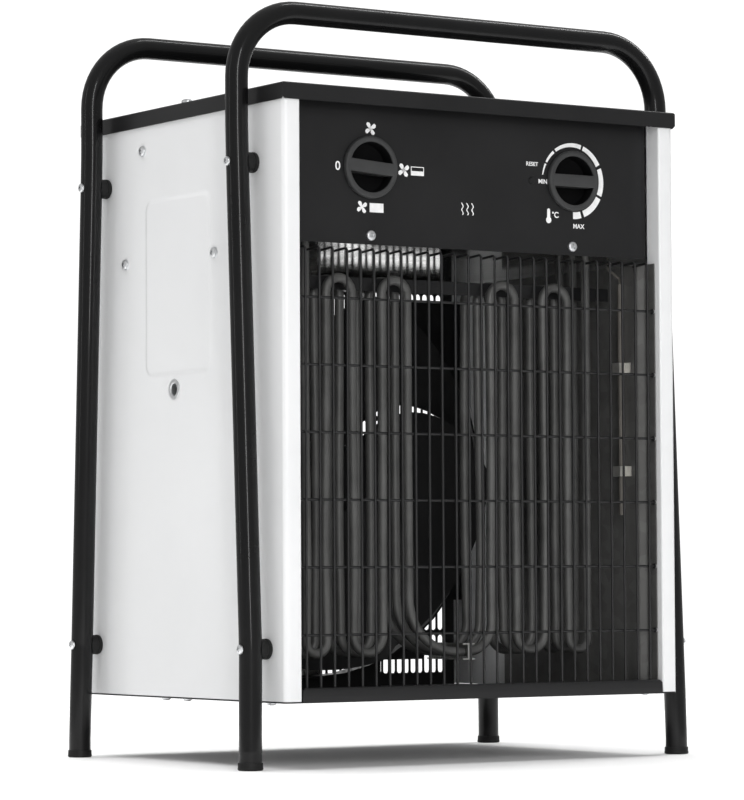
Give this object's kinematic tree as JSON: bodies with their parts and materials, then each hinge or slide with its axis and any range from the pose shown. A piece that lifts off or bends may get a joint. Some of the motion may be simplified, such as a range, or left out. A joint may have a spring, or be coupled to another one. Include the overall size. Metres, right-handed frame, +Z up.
{
  "type": "industrial electric fan heater",
  "caption": "Box-shaped electric fan heater hung between two tubular hoops, with tubular elements behind a wire grille, a rear axial fan and a recessed panel with two turning knobs.",
  "frame": {"origin": "on the floor under the middle of the heater, between its four feet", "axes": "+Z up, -Y towards the front grille and control panel, +X to the right of someone facing the front"},
  "size_m": [0.492, 0.3632, 0.6796],
  "materials": {
    "white_paint": "gloss powder coat",
    "black_paint": "semi-gloss powder coat",
    "black_wire": "satin coated wire",
    "rubber": "matt moulded",
    "screw_steel": "bright zinc plated",
    "element_sheath": "heat-darkened steel sheath",
    "knob_plastic": "fine matt grain",
    "black_plastic": "matt moulded",
    "motor_casting": "as cast",
    "copper": "plain drawn",
    "cream_plastic": "moulded",
    "galvanised": "galvanised sheet"
  },
  "bodies": {
    "casing": {"bottom_tray": "black_paint", "cable_gland": "black_plastic", "compartment_floor": "galvanised", "contactor": "cream_plastic", "control_panel": "black_paint", "element_clip": "galvanised", "element_support_bar": "galvanised", "fan_motor": "motor_casting", "fan_shroud": "black_paint", "foot_cap_front_left": "rubber", "foot_cap_front_right": "rubber", "foot_cap_rear_left": "rubber", "foot_cap_rear_right": "rubber", "front_grille": "black_wire", "front_hoop": "black_paint", "heat_shield_left": "galvanised", "heat_shield_right": "galvanised", "heating_element_1": "element_sheath", "heating_element_2": "element_sheath", "heating_element_3": "element_sheath", "hoop_screw_front_left_lower": "screw_steel", "hoop_screw_front_left_upper": "screw_steel", "hoop_screw_front_right_lower": "screw_steel", "hoop_screw_front_right_upper": "screw_steel", "hoop_screw_rear_left_lower": "screw_steel", "hoop_screw_rear_left_upper": "screw_steel", "hoop_screw_rear_right_lower": "screw_steel", "hoop_screw_rear_right_upper": "screw_steel", "motor_bracket": "galvanised", "rear_hoop": "black_paint", "rear_panel": "black_paint", "selector_switch": "cream_plastic", "sensor_clip_lower": "galvanised", "sensor_clip_upper": "galvanised", "side_panel_left": "white_paint", "side_panel_right": "white_paint", "spacer_front_left_lower": "rubber", "spacer_front_left_upper": "rubber", "spacer_front_right_lower": "rubber", "spacer_front_right_upper": "rubber", "spacer_rear_left_lower": "rubber", "spacer_rear_left_upper": "rubber", "spacer_rear_right_lower": "rubber", "spacer_rear_right_upper": "rubber", "terminal_block": "black_plastic", "terminal_plate_left": "cream_plastic", "terminal_plate_right": "cream_plastic", "thermal_cutout": "black_plastic", "thermostat": "cream_plastic", "thermostat_sensor": "copper", "top_cover": "black_paint"},
    "fan": {"fan_rotor": "black_plastic"},
    "selector": {"selector_knob": "knob_plastic"},
    "thermostat_dial": {"thermostat_knob": "knob_plastic"}
  },
  "joints": [
    {"name": "fan_spin", "type": "hinge", "parent": "casing", "child": "fan", "pos_m": [0, 0.09, 0.262], "axis": [0, 1, 0], "continuous": true},
    {"name": "selector_turn", "type": "hinge", "parent": "casing", "child": "selector", "pos_m": [-0.112, -0.16, 0.532], "axis": [0, 1, 0], "range_deg": [0, 270]},
    {"name": "thermostat_turn", "type": "hinge", "parent": "casing", "child": "thermostat_dial", "pos_m": [0.112, -0.16, 0.532], "axis": [0, 1, 0], "range_deg": [0, 270]}
  ]
}
